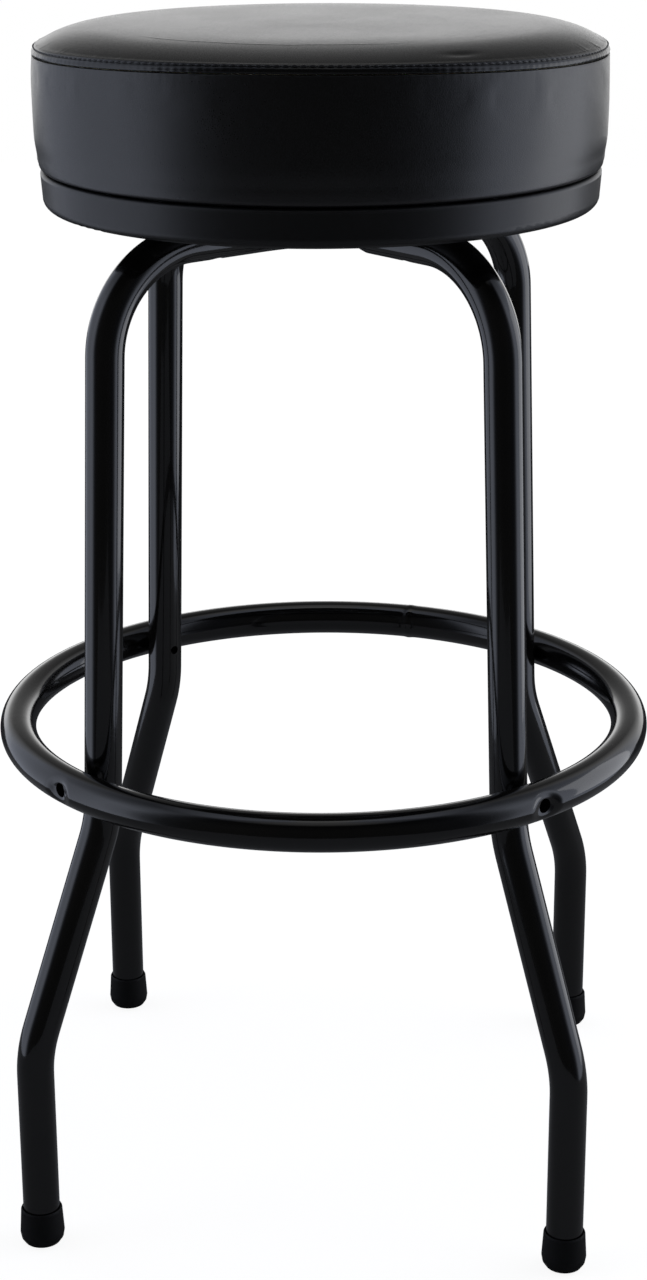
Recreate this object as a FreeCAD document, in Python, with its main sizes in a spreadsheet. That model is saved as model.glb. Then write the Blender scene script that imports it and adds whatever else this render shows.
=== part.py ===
import FreeCAD, Part
import math
import os
from types import SimpleNamespace

import Sketcher
from FreeCAD import Placement, Rotation, Vector

# Swivel bar stool: two bent tube leg frames that cross under the seat, a screwed-on
# foot ring, a ball-race swivel and a round padded seat. Millimetres and degrees,
# +Z up, the origin on the floor below the swivel's axis.

DIMENSIONS = {
    # Leg tube and its bends
    "tube_diameter": 23.6,
    "tube_wall": 1.4,
    "frame_height": 648.4,
    "leg_top_radius": 165.0,
    "top_bend_radius": 63.5,
    "upper_knee_height": 281.0,
    "lower_knee_height": 137.0,
    "knee_bend_radius": 80.0,
    "foot_radius": 239.0,
    # Pressed crossing of the two leg frames
    "lap_height": 11.6,
    "lap_flat_width": 18.4,
    "lap_side_radius": 6.9,
    "lap_half_length": 18.0,
    "lap_taper_length": 30.0,
    # Foot ring
    "ring_radius": 203.0,
    "ring_tube_diameter": 23.6,
    "ring_tube_wall": 1.4,
    "ring_height": 309.0,
    "dish_radius": 9.0,
    "dish_depth": 4.4,
    "access_hole_radius": 4.6,
    # Ring screws and the nuts they turn into
    "screw_radius": 2.5,
    "screw_length": 15.0,
    "screw_head_radius": 4.25,
    "screw_head_height": 5.0,
    "screw_socket_across": 4.0,
    "screw_socket_depth": 2.6,
    "screw_edge": 0.5,
    "insert_radius": 3.5,
    "insert_length": 10.5,
    "insert_bulge_radius": 4.8,
    "insert_bulge_length": 2.6,
    "leg_vent_radius": 3.0,
    # Rubber feet and their washers
    "cap_height": 25.4,
    "cap_floor": 4.0,
    "cap_wall": 1.5,
    "cap_belly": 1.0,
    "cap_belly_height": 8.0,
    "cap_base_radius": 9.0,
    "cap_lip": 1.2,
    "foot_washer_thickness": 1.5,
    "foot_washer_bore": 4.0,
    # Swivel plates, their race and balls
    "swivel_height": 26.5,
    "plate_width": 150.0,
    "plate_sheet": 2.6,
    "plate_corner_radius": 18.0,
    "plate_rise": 8.6,
    "press_foot_radius": 66.0,
    "press_slope_width": 9.0,
    "ball_pitch_radius": 48.0,
    "ball_radius": 3.175,
    "ball_count": 12,
    "cage_thickness": 1.2,
    "cage_margin": 2.0,
    # Centre rivet
    "rivet_radius": 8.0,
    "rivet_head_radius": 14.0,
    "rivet_head_height": 3.4,
    "rivet_head_edge": 1.0,
    "peened_head_radius": 12.0,
    "peened_head_height": 2.6,
    "peened_head_edge": 0.8,
    "rivet_washer_radius": 15.0,
    "rivet_washer_thickness": 2.0,
    # Bolts of the swivel plates
    "bolt_circle_radius": 85.0,
    "bolt_radius": 3.0,
    "bolt_hole_radius": 3.3,
    "bolt_head_radius": 5.0,
    "bolt_head_height": 6.0,
    "bolt_socket_across": 5.0,
    "bolt_socket_depth": 3.0,
    "bolt_access_radius": 5.6,
    "bolt_tip": 1.0,
    "nut_across": 10.0,
    "nut_height": 5.0,
    "seat_bolt_flange_radius": 6.6,
    "seat_bolt_flange_height": 1.4,
    "seat_bolt_head_across": 10.0,
    "seat_bolt_head_height": 4.0,
    "tee_nut_flange_radius": 9.0,
    "tee_nut_flange_thickness": 1.2,
    "tee_nut_barrel_radius": 4.0,
    "tee_nut_barrel_length": 9.0,
    # Pressed seat pan
    "pan_radius": 174.2,
    "pan_sheet": 1.2,
    "pan_height": 25.0,
    "pan_draft": 1.0,
    "pan_top_corner": 2.4,
    "pan_bottom_corner": 6.5,
    "pan_return": 4.0,
    "pan_step_radius": 139.0,
    "pan_step_depth": 2.0,
    # Seat board
    "board_thickness": 12.0,
    "board_edge_chamfer": 3.0,
    # Cushion
    "cushion_base_radius": 175.0,
    "cushion_seam_radius": 177.3,
    "band_height": 72.8,
    "band_bulge_radius": 640.0,
    "band_bottom_radius": 4.2,
    "band_turn_under": 26.0,
    "cover_thickness": 1.2,
    "welt_height": 4.6,
    "welt_inset": 1.7,
    "welt_thickness": 1.6,
    "welt_bulge_radius": 4.5,
    "crown_rise": 8.5,
    "crown_shoulder_drop": 1.8,
    "crown_shoulder_radius": 120.0,
    "crown_roll_width": 7.0,
    "crown_roll_drop": 2.2,
    "crown_shoulder_bend": 420.0,
    "crown_roll_bend": 22.0,
    # Staples under the cover's turned-in edge
    "staple_count": 24,
    "staple_width": 11.0,
    "staple_wire": 0.7,
    "staple_strip": 1.2,
    "staple_leg": 7.0,
    "staple_inset": 13.0,
    # Clearances
    "running_gap": 0.06,
    "seat_gap": 0.05,
    "soft_gap": 0.3,
    "ring_gap": 0.15,
    "race_gap": 0.08,
    "pocket_gap": 0.12,
}

QUARTERS = 4
CAP_STEPS = 3
DIAGONAL = 45.0
TINY = 1e-9
ON_AXIS = "the arc's centre lies on the sketch's upright axis"

doc = FreeCAD.newDocument("bar_stool")
sheet = doc.addObject("Spreadsheet::Sheet", "Dimensions")
parts = []


class Size:
    """A size that keeps its formula, in the sheet's names, beside its value."""

    def __init__(self, text, value):
        self.text = text
        self.value = float(value)

    @staticmethod
    def wrap(other):
        return other if isinstance(other, Size) else Size(repr(float(other)), other)

    def __add__(self, other):
        other = Size.wrap(other)
        return Size(f"({self.text} + {other.text})", self.value + other.value)

    def __sub__(self, other):
        other = Size.wrap(other)
        return Size(f"({self.text} - {other.text})", self.value - other.value)

    def __mul__(self, other):
        other = Size.wrap(other)
        return Size(f"({self.text} * {other.text})", self.value * other.value)

    def __truediv__(self, other):
        other = Size.wrap(other)
        return Size(f"({self.text} / {other.text})", self.value / other.value)

    def __neg__(self):
        return Size.wrap(0) - self

    def __radd__(self, other):
        return Size.wrap(other) + self

    def __rsub__(self, other):
        return Size.wrap(other) - self

    def __rmul__(self, other):
        return Size.wrap(other) * self


def root(size):
    """Square root of a size."""
    return Size(f"sqrt({size.text})", math.sqrt(size.value))


def fill_sheet():
    """Write the driving dimensions to the sheet and return them as named sizes."""
    for row, (name, value) in enumerate(DIMENSIONS.items(), start=1):
        sheet.set(f"A{row}", name)
        sheet.set(f"B{row}", str(value))
        sheet.setAlias(f"B{row}", name)
    doc.recompute()
    return SimpleNamespace(**{name: Size(f"Dimensions.{name}", value)
                              for name, value in DIMENSIONS.items()})


d = fill_sheet()

# Heights and radii that follow from the driving dimensions

tube_radius = d.tube_diameter / 2
bore_radius = tube_radius - d.tube_wall
run_height = d.frame_height - tube_radius
ring_tube_radius = d.ring_tube_diameter / 2
ring_bore_radius = ring_tube_radius - d.ring_tube_wall
leg_radius_at_ring = d.ring_radius - ring_tube_radius - tube_radius - d.ring_gap
leg_splay = (leg_radius_at_ring - d.leg_top_radius) / (run_height - d.ring_height)
upper_knee_radius = leg_radius_at_ring + leg_splay * (d.ring_height - d.upper_knee_height)
tube_end_height = d.cap_floor + d.foot_washer_thickness + 2 * d.seat_gap
lap_end = d.lap_half_length + d.lap_taper_length
diagonal_share = root(Size.wrap(0.5))

plate_top = d.frame_height + d.plate_sheet
race_middle = d.frame_height + d.swivel_height / 2
pan_under = d.frame_height + d.swivel_height
board_under = pan_under + d.pan_sheet
board_top = board_under + d.board_thickness
board_radius = d.cushion_base_radius - d.cover_thickness - d.soft_gap
cover_under = board_under - d.cover_thickness - d.seat_gap
seam_height = board_under + d.band_height
edge_height = seam_height + d.welt_height
edge_radius = d.cushion_seam_radius - d.welt_inset
crown_top = edge_height + d.crown_rise


# Helpers for bodies, sketches and features

def new_body(label, turn=0.0, x=None, y=None, z=None, flipped=False):
    """Start a sub-part: turned about Z, stood at x, y, z and upside down if flipped."""
    body = doc.addObject("PartDesign::Body", label)
    body.Label = label
    body.AllowCompound = True
    stance = Rotation(Vector(1, 0, 0), 180) if flipped else Rotation()
    place = Vector(*[Size.wrap(part or 0).value for part in (x, y, z)])
    body.Placement = Placement(place, Rotation(Vector(0, 0, 1), turn) * stance)
    for axis, part in (("x", x), ("y", y), ("z", z)):
        if part is not None:
            body.setExpression(f"Placement.Base.{axis}", part.text)
    parts.append(body)
    return body


def origin_feature(body, role):
    """The body's own origin plane or axis of that role."""
    return next(item for item in body.Origin.OriginFeatures if item.Role == role)


def new_sketch(body, role, offset=None):
    """A sketch on one of the body's origin planes, moved along its normal."""
    sketch = body.newObject("Sketcher::SketchObject", f"{body.Label}_sketch")
    sketch.AttachmentSupport = [(origin_feature(body, role), "")]
    sketch.MapMode = "FlatFace"
    if offset is not None:
        sketch.AttachmentOffset = Placement(Vector(0, 0, offset.value), Rotation())
        sketch.setExpression("AttachmentOffset.Base.z", offset.text)
    return sketch


def pin_point(sketch, item, end, x, y):
    """Fix one point of a sketch item at x, y with dimensions that follow the sheet."""
    for kind, place, axis in (("DistanceX", Size.wrap(x), -2), ("DistanceY", Size.wrap(y), -1)):
        if abs(place.value) < TINY:
            sketch.addConstraint(Sketcher.Constraint("PointOnObject", item, end, axis))
            continue
        number = sketch.addConstraint(
            Sketcher.Constraint(kind, -1, 1, item, end, place.value))
        sketch.setExpression(f"Constraints[{number}]", place.text)


def hold_radius(sketch, item, radius):
    """Fix the radius of a circle or arc with a dimension that follows the sheet."""
    number = sketch.addConstraint(Sketcher.Constraint("Radius", item, radius.value))
    sketch.setExpression(f"Constraints[{number}]", radius.text)


def add_circle(sketch, x, y, radius):
    """A circle whose centre and radius follow the sheet."""
    centre = Vector(Size.wrap(x).value, Size.wrap(y).value, 0)
    item = sketch.addGeometry(Part.Circle(centre, Vector(0, 0, 1), radius.value))
    pin_point(sketch, item, 3, x, y)
    hold_radius(sketch, item, radius)


def arc_between(start, end, radius, turn):
    """The short arc of a radius from start to end, anticlockwise when turn is 1."""
    chord = end - start
    half = chord.Length / 2
    reach = math.sqrt(max(radius ** 2 - half ** 2, 0.0))
    left = Vector(-chord.y, chord.x, 0).normalize()
    centre = (start + end) / 2 + left * (reach * turn)
    first, last = (start, end) if turn > 0 else (end, start)
    angles = [math.atan2(point.y - centre.y, point.x - centre.x) for point in (first, last)]
    return Part.ArcOfCircle(Part.Circle(centre, Vector(0, 0, 1), radius), *angles)


def radius_on_axis(start, end):
    """The radius of an arc that ends on the upright axis and is centred on it."""
    reach = max(abs(start.x), abs(end.x))
    rise = abs(end.y - start.y)
    return (reach ** 2 + rise ** 2) / (2 * rise)


def add_outline(sketch, *steps):
    """Join points in a closed loop. A step is x, y, or x, y, radius, turn after an arc."""
    places = [step[:2] for step in steps]
    points = [Vector(Size.wrap(x).value, Size.wrap(y).value, 0) for x, y in places]
    joins = []
    for index, start in enumerate(points):
        target = (index + 1) % len(steps)
        curve = steps[target][2:]
        if curve:
            radius, turn = curve
            end = points[target]
            held = radius is not ON_AXIS
            size = Size.wrap(radius).value if held else radius_on_axis(start, end)
            item = sketch.addGeometry(arc_between(start, end, size, turn))
            if held:
                hold_radius(sketch, item, Size.wrap(radius))
            else:
                sketch.addConstraint(Sketcher.Constraint("PointOnObject", item, 3, -2))
            joins.append((item, 1, 2) if turn > 0 else (item, 2, 1))
        else:
            item = sketch.addGeometry(Part.LineSegment(start, points[target]))
            joins.append((item, 1, 2))
    for index, (item, first, last) in enumerate(joins):
        following, start_of_following, _ = joins[(index + 1) % len(joins)]
        sketch.addConstraint(
            Sketcher.Constraint("Coincident", item, last, following, start_of_following))
        pin_point(sketch, item, first, *places[index])


def add_hexagon(sketch, x, across):
    """A hexagon round x on the sketch's X axis, two of its flats square to that axis."""
    half = across / 2
    corner = across / (2 * math.sqrt(3))
    add_outline(
        sketch,
        (x + half, -corner),
        (x + half, corner),
        (x, corner * 2),
        (x - half, corner),
        (x - half, -corner),
        (x, corner * -2),
    )


def add_bent_path(sketch, points, radii):
    """A path of straight runs through the corners, each corner rounded by its bend."""
    lines = []
    for start, end in zip(points, points[1:]):
        ends = [Vector(x.value, y.value, 0) for x, y in (start, end)]
        lines.append(sketch.addGeometry(Part.LineSegment(*ends)))
    for first, second in zip(lines, lines[1:]):
        sketch.addConstraint(Sketcher.Constraint("Coincident", first, 2, second, 1))
    for line, point in zip(lines, points):
        pin_point(sketch, line, 1, *point)
    pin_point(sketch, lines[-1], 2, *points[-1])
    for first, second, radius in zip(lines, lines[1:], radii):
        picks = [(sketch.Geometry[line].StartPoint + sketch.Geometry[line].EndPoint) / 2
                 for line in (first, second)]
        sketch.fillet(first, second, *picks, radius.value, True, True)
        arc = max(index for index, item in enumerate(sketch.Geometry)
                  if isinstance(item, Part.ArcOfCircle))
        hold_radius(sketch, arc, radius)


def revolve(body, sketch, axis="Z_Axis"):
    """Turn a closed sketch once round one of the body's axes."""
    feature = body.newObject("PartDesign::Revolution", f"{body.Label}_turned")
    feature.Profile = sketch
    feature.ReferenceAxis = (origin_feature(body, axis), [""])
    feature.Angle = 360
    return feature


def extrude(body, sketch, length, cut=False, backwards=False):
    """Pad a sketch along its normal, or against it when backwards; pocket it when cut."""
    kind = "PartDesign::Pocket" if cut else "PartDesign::Pad"
    feature = body.newObject(kind, f"{body.Label}_{'cut' if cut else 'pad'}")
    feature.Profile = sketch
    feature.Length = length.value
    feature.setExpression("Length", length.text)
    feature.Reversed = backwards != cut
    return feature


def repeat_round(body, features, count):
    """Repeat features evenly round the body's Z axis; count is a number or a size."""
    pattern = body.newObject("PartDesign::PolarPattern", f"{body.Label}_pattern")
    pattern.Originals = features
    pattern.Axis = (origin_feature(body, "Z_Axis"), [""])
    pattern.Angle = 360
    if isinstance(count, Size):
        pattern.Occurrences = int(count.value)
        pattern.setExpression("Occurrences", count.text)
    else:
        pattern.Occurrences = count
    body.Tip = pattern
    return pattern


def add_primitive(kind, name, sizes, place=(0, 0, 0), rotation=None):
    """A solid of the named kind whose sizes and place follow the sheet."""
    item = doc.addObject(f"Part::{kind}", name)
    for key, size in sizes.items():
        setattr(item, key, size.value)
        item.setExpression(key, size.text)
    places = [Size.wrap(part) for part in place]
    item.Placement = Placement(Vector(*[part.value for part in places]),
                               rotation or Rotation())
    for axis, part in zip("xyz", places):
        item.setExpression(f"Placement.Base.{axis}", part.text)
    return item


# Leg frames: one bent tube each, pressed to half height where they cross

def pressed_section(sketch, middle):
    """The flattened tube: two flats joined by rounded sides."""
    half = d.lap_flat_width / 2
    rise = d.lap_height / 2
    add_outline(
        sketch,
        (half, middle - rise),
        (half, middle + rise, d.lap_side_radius, 1),
        (-half, middle + rise),
        (-half, middle - rise, d.lap_side_radius, 1),
    )


def round_section(sketch):
    """The tube's full circle, in four arcs that match the sides of the pressed section."""
    reach = tube_radius * diagonal_share
    add_outline(
        sketch,
        (reach, run_height - reach, tube_radius, 1),
        (reach, run_height + reach, tube_radius, 1),
        (-reach, run_height + reach, tube_radius, 1),
        (-reach, run_height - reach, tube_radius, 1),
    )


def leg_frame(label, turn, lap_side):
    """A leg frame along its local X axis; lap_side 1 keeps the upper half, -1 the lower."""
    body = new_body(label, turn)
    lap_middle = run_height + lap_side * (tube_radius - d.lap_height / 2)
    spine = new_sketch(body, "XZ_Plane")
    corners = (
        (lap_end, run_height),
        (d.leg_top_radius, run_height),
        (upper_knee_radius, d.upper_knee_height),
        (d.foot_radius, d.lower_knee_height),
        (d.foot_radius, tube_end_height),
    )
    add_bent_path(spine, corners, (d.top_bend_radius, d.knee_bend_radius, d.knee_bend_radius))
    circle = new_sketch(body, "YZ_Plane", lap_end)
    add_circle(circle, 0, run_height, tube_radius)
    tube = body.newObject("PartDesign::AdditivePipe", f"{label}_tube")
    tube.Profile = circle
    tube.Spine = (spine, [])
    flat = new_sketch(body, "YZ_Plane")
    pressed_section(flat, lap_middle)
    flat_run = extrude(body, flat, d.lap_half_length)
    flat_end = new_sketch(body, "YZ_Plane", d.lap_half_length)
    pressed_section(flat_end, lap_middle)
    round_end = new_sketch(body, "YZ_Plane", lap_end)
    round_section(round_end)
    taper = body.newObject("PartDesign::AdditiveLoft", f"{label}_taper")
    taper.Profile = flat_end
    taper.Sections = [round_end]
    bore_circle = new_sketch(body, "YZ_Plane", lap_end)
    add_circle(bore_circle, 0, run_height, bore_radius)
    bore = body.newObject("PartDesign::SubtractivePipe", f"{label}_bore")
    bore.Profile = bore_circle
    bore.Spine = (spine, [])
    insert_hole = new_sketch(body, "YZ_Plane", leg_radius_at_ring)
    add_circle(insert_hole, 0, d.ring_height, d.insert_radius + d.seat_gap)
    vent_hole = new_sketch(body, "YZ_Plane", leg_radius_at_ring)
    add_circle(vent_hole, 0, d.ring_height, d.leg_vent_radius)
    bolt_hole = new_sketch(body, "XY_Plane", run_height)
    add_circle(bolt_hole, d.bolt_circle_radius, 0, d.bolt_hole_radius)
    access_hole = new_sketch(body, "XY_Plane", run_height)
    add_circle(access_hole, d.bolt_circle_radius, 0, d.bolt_access_radius)
    holes = [
        extrude(body, insert_hole, d.tube_diameter, cut=True),
        extrude(body, vent_hole, d.tube_diameter, cut=True, backwards=True),
        extrude(body, bolt_hole, d.tube_diameter, cut=True),
        extrude(body, access_hole, d.tube_diameter, cut=True, backwards=True),
    ]
    mirror = body.newObject("PartDesign::Mirrored", f"{label}_mirrored")
    mirror.Originals = [tube, flat_run, taper, bore] + holes
    mirror.MirrorPlane = (origin_feature(body, "YZ_Plane"), [""])
    body.Tip = mirror


leg_frame("leg_frame_lower", DIAGONAL, -1)
leg_frame("leg_frame_upper", DIAGONAL + 90, 1)


# Foot ring: a closed hoop outside the legs, pressed into a dish at each screw

def on_diagonal(radius, quarter, height):
    """A point at a radius and height on one of the four diagonals."""
    side_x = 1 if quarter in (0, 3) else -1
    side_y = 1 if quarter in (0, 1) else -1
    return (radius * diagonal_share * side_x, radius * diagonal_share * side_y, height)


def ring_hole(name, quarter, radius, start):
    """A drill that runs outwards along one diagonal from a starting radius."""
    outward = (Rotation(Vector(0, 0, 1), DIAGONAL + 90 * quarter)
               * Rotation(Vector(0, 1, 0), 90))
    return add_primitive("Cylinder", f"{name}_{quarter}",
                         {"Radius": radius, "Height": d.ring_tube_diameter},
                         on_diagonal(start, quarter, d.ring_height), outward)


def foot_ring():
    """The hollow hoop with a pressed dish, an access hole and a screw hole at each leg."""
    centre = (0, 0, d.ring_height)
    outside = add_primitive(
        "Torus", "ring_outside", {"Radius1": d.ring_radius, "Radius2": ring_tube_radius}, centre)
    inside = add_primitive(
        "Torus", "ring_inside", {"Radius1": d.ring_radius, "Radius2": ring_bore_radius}, centre)
    hoop = doc.addObject("Part::Cut", "ring_hoop")
    hoop.Base = outside
    hoop.Tool = inside
    dish_centre = d.ring_radius + ring_tube_radius + d.dish_radius - d.dish_depth
    backs = []
    cuts = []
    for quarter in range(QUARTERS):
        place = on_diagonal(dish_centre, quarter, d.ring_height)
        backs.append(add_primitive(
            "Sphere", f"dish_back_{quarter}", {"Radius": d.dish_radius + d.ring_tube_wall}, place))
        cuts.append(add_primitive(
            "Sphere", f"dish_{quarter}", {"Radius": d.dish_radius}, place))
        cuts.append(ring_hole("access_hole", quarter, d.access_hole_radius, d.ring_radius))
        cuts.append(ring_hole("screw_hole", quarter, d.screw_radius + d.pocket_gap,
                              d.ring_radius - d.ring_tube_diameter))
    pressed = doc.addObject("Part::MultiFuse", "dish_backs")
    pressed.Shapes = backs
    walls = doc.addObject("Part::MultiCommon", "dish_walls")
    walls.Shapes = [pressed, outside]
    joined = doc.addObject("Part::MultiFuse", "ring_with_dishes")
    joined.Shapes = [hoop, walls]
    holes = doc.addObject("Part::MultiFuse", "ring_holes")
    holes.Shapes = cuts
    ring = doc.addObject("Part::Cut", "foot_ring")
    ring.Base = joined
    ring.Tool = holes
    ring.Label = "foot_ring"
    parts.append(ring)


foot_ring()

# Ring screws: each head bears on the ring's inner wall, each tip turns into a leg

head_sag = ring_bore_radius - root(
    ring_bore_radius * ring_bore_radius - d.screw_head_radius * d.screw_head_radius)
head_seat = d.ring_radius - ring_bore_radius + head_sag + 2 * d.seat_gap
leg_outer_face = leg_radius_at_ring + tube_radius


def ring_screws():
    """Four socket-head screws that point at the swivel's axis."""
    body = new_body("ring_screws", DIAGONAL, z=d.ring_height)
    head_end = head_seat + d.screw_head_height
    tip = head_seat - d.screw_length
    profile = new_sketch(body, "XZ_Plane")
    add_outline(
        profile,
        (tip, 0),
        (head_end, 0),
        (head_end, d.screw_head_radius - d.screw_edge),
        (head_end - d.screw_edge, d.screw_head_radius),
        (head_seat, d.screw_head_radius),
        (head_seat, d.screw_radius),
        (tip + d.screw_edge, d.screw_radius),
        (tip, d.screw_radius - d.screw_edge),
    )
    turned = revolve(body, profile, "X_Axis")
    socket = new_sketch(body, "YZ_Plane", head_end)
    add_hexagon(socket, Size.wrap(0), d.screw_socket_across)
    recess = extrude(body, socket, d.screw_socket_depth, cut=True, backwards=True)
    repeat_round(body, [turned, recess], QUARTERS)


def ring_insert_nuts():
    """Four blind rivet nuts pulled tight behind the outer wall of each leg."""
    body = new_body("ring_insert_nuts", DIAGONAL, z=d.ring_height)
    thread = d.screw_radius + d.seat_gap
    end = leg_outer_face - d.insert_length
    bulge_start = leg_outer_face - d.tube_wall * 2
    bulge_end = bulge_start - d.insert_bulge_length
    profile = new_sketch(body, "XZ_Plane")
    add_outline(
        profile,
        (end, thread),
        (leg_outer_face, thread),
        (leg_outer_face, d.insert_radius),
        (bulge_start, d.insert_radius),
        (bulge_start, d.insert_bulge_radius),
        (bulge_end, d.insert_radius),
        (end, d.insert_radius),
    )
    repeat_round(body, [revolve(body, profile, "X_Axis")], QUARTERS)


ring_screws()
ring_insert_nuts()


# Rubber feet: a cap pushed over each tube end, with a steel washer on its floor

FEET = ("foot_rear_right", "foot_rear_left", "foot_front_left", "foot_front_right")


def foot_cap(label, quarter):
    """One rubber cap: its side tapers to a low belly and steps in round to a flat base."""
    x, y, _ = on_diagonal(d.foot_radius, quarter, 0)
    body = new_body(label, x=x, y=y)
    mouth = tube_radius + d.seat_gap
    rim = mouth + d.cap_wall
    belly = rim + d.cap_belly
    rounding = []
    for step in range(1, CAP_STEPS + 1):
        angle = math.radians(90 * step / CAP_STEPS)
        out = (belly - d.cap_base_radius) * math.sin(angle)
        rounding.append((d.cap_base_radius + out, d.cap_belly_height * (1 - math.cos(angle))))
    profile = new_sketch(body, "XZ_Plane")
    add_outline(
        profile,
        (0, 0),
        (d.cap_base_radius, 0),
        *rounding,
        (rim, d.cap_height - d.cap_lip),
        (rim - d.cap_lip / 2, d.cap_height),
        (mouth + d.cap_lip / 2, d.cap_height),
        (mouth, d.cap_height - 2 * d.cap_lip),
        (mouth, d.cap_floor),
        (0, d.cap_floor),
    )
    revolve(body, profile)


def foot_washers():
    """Four steel washers that keep the tube ends from cutting through the caps."""
    body = new_body("foot_washers", DIAGONAL)
    disc = new_sketch(body, "XY_Plane", d.cap_floor + d.seat_gap)
    add_circle(disc, d.foot_radius, 0, tube_radius - d.seat_gap)
    add_circle(disc, d.foot_radius, 0, d.foot_washer_bore)
    repeat_round(body, [extrude(body, disc, d.foot_washer_thickness)], QUARTERS)


for quarter, label in enumerate(FEET):
    foot_cap(label, quarter)
foot_washers()


# Swivel: two square plates pressed into facing races, with caged balls between them

def swivel_plate(label, height, flipped, bore):
    """A square plate whose middle is pressed towards the other plate as a ball race."""
    body = new_body(label, z=height, flipped=flipped)
    side = d.plate_width / 2
    near = side - d.plate_corner_radius
    corner = d.plate_corner_radius
    blank = new_sketch(body, "XY_Plane")
    add_outline(
        blank,
        (side, -near, corner, 1),
        (side, near),
        (near, side, corner, 1),
        (-near, side),
        (-side, near, corner, 1),
        (-side, -near),
        (-near, -side, corner, 1),
        (near, -side),
    )
    add_circle(blank, 0, 0, d.press_foot_radius)
    extrude(body, blank, d.plate_sheet)
    slope = root(d.plate_rise * d.plate_rise + d.press_slope_width * d.press_slope_width)
    mitre = d.plate_sheet * (slope - d.press_slope_width) / d.plate_rise
    shoulder = d.press_foot_radius - d.press_slope_width
    face = d.plate_rise + d.plate_sheet
    groove_radius = d.ball_radius + d.race_gap
    groove_rise = d.swivel_height / 2 - face
    groove_half = root(groove_radius * groove_radius - groove_rise * groove_rise)
    pressing = new_sketch(body, "XZ_Plane")
    add_outline(
        pressing,
        (d.press_foot_radius, 0),
        (d.press_foot_radius, d.plate_sheet),
        (shoulder, face),
        (d.ball_pitch_radius + groove_half, face),
        (d.ball_pitch_radius - groove_half, face, groove_radius, -1),
        (bore, face),
        (bore, d.plate_rise),
        (shoulder - mitre, d.plate_rise),
        (d.press_foot_radius - mitre, 0),
    )
    revolve(body, pressing)
    hole = new_sketch(body, "XY_Plane")
    reach = d.bolt_circle_radius * diagonal_share
    add_circle(hole, reach, reach, d.bolt_hole_radius)
    repeat_round(body, [extrude(body, hole, d.plate_sheet, cut=True)], QUARTERS)


def bearing_balls():
    """The steel balls, evenly round the race."""
    body = new_body("bearing_balls", z=race_middle)
    ball = body.newObject("PartDesign::AdditiveSphere", "ball")
    ball.Radius = d.ball_radius.value
    ball.setExpression("Radius", d.ball_radius.text)
    ball.Placement = Placement(Vector(d.ball_pitch_radius.value, 0, 0), Rotation())
    ball.setExpression("Placement.Base.x", d.ball_pitch_radius.text)
    repeat_round(body, [ball], d.ball_count)


def ball_cage():
    """A flat ring with a round pocket for each ball."""
    body = new_body("ball_cage", z=race_middle)
    reach = d.ball_radius + d.cage_margin
    ring = new_sketch(body, "XY_Plane", -(d.cage_thickness / 2))
    add_circle(ring, 0, 0, d.ball_pitch_radius + reach)
    add_circle(ring, 0, 0, d.ball_pitch_radius - reach)
    extrude(body, ring, d.cage_thickness)
    pocket = new_sketch(body, "XY_Plane", -(d.cage_thickness / 2))
    add_circle(pocket, d.ball_pitch_radius, 0, d.ball_radius + d.pocket_gap)
    repeat_round(body, [extrude(body, pocket, d.cage_thickness, cut=True)], d.ball_count)


def centre_rivet():
    """The rivet that holds the swivel together; its top end is peened over a washer."""
    body = new_body("swivel_rivet", z=d.frame_height)
    under_base = d.plate_rise - d.seat_gap
    over_top = d.swivel_height - d.plate_rise
    peened = over_top + d.rivet_washer_thickness + 2 * d.seat_gap
    peened_top = peened + d.peened_head_height
    head_bottom = under_base - d.rivet_head_height
    profile = new_sketch(body, "XZ_Plane")
    add_outline(
        profile,
        (0, head_bottom),
        (d.rivet_head_radius - d.rivet_head_edge, head_bottom),
        (d.rivet_head_radius, head_bottom + d.rivet_head_edge),
        (d.rivet_head_radius, under_base),
        (d.rivet_radius, under_base),
        (d.rivet_radius, peened),
        (d.peened_head_radius, peened),
        (d.peened_head_radius, peened + d.peened_head_edge),
        (d.rivet_radius, peened_top),
        (0, peened_top),
    )
    revolve(body, profile)


def rivet_washer():
    """The washer between the top plate and the peened end."""
    body = new_body("swivel_washer", z=d.frame_height)
    face = d.swivel_height - d.plate_rise + d.seat_gap
    disc = new_sketch(body, "XY_Plane", face)
    add_circle(disc, 0, 0, d.rivet_washer_radius)
    add_circle(disc, 0, 0, d.rivet_radius + d.running_gap)
    extrude(body, disc, d.rivet_washer_thickness)


swivel_plate("swivel_base_plate", d.frame_height, False, d.rivet_radius + d.seat_gap)
swivel_plate("swivel_top_plate", pan_under, True, d.rivet_radius + d.running_gap)
bearing_balls()
ball_cage()
centre_rivet()
rivet_washer()

# Frame bolts: their heads sit inside the tubes, reached through holes underneath

bolt_sag = bore_radius - root(
    bore_radius * bore_radius - d.bolt_head_radius * d.bolt_head_radius)
bolt_seat = run_height + bore_radius - bolt_sag - d.seat_gap


def frame_bolts():
    """Four socket-head bolts from the tubes up through the swivel's base plate."""
    body = new_body("frame_bolts", DIAGONAL)
    head_bottom = bolt_seat - d.bolt_head_height
    bolt_end = plate_top + d.nut_height + d.bolt_tip
    head = new_sketch(body, "XY_Plane", head_bottom)
    add_circle(head, d.bolt_circle_radius, 0, d.bolt_head_radius)
    shank = new_sketch(body, "XY_Plane", head_bottom)
    add_circle(shank, d.bolt_circle_radius, 0, d.bolt_radius)
    socket = new_sketch(body, "XY_Plane", head_bottom)
    add_hexagon(socket, d.bolt_circle_radius, d.bolt_socket_across)
    made = [
        extrude(body, head, d.bolt_head_height),
        extrude(body, shank, bolt_end - head_bottom),
        extrude(body, socket, d.bolt_socket_depth, cut=True),
    ]
    repeat_round(body, made, QUARTERS)


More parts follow.
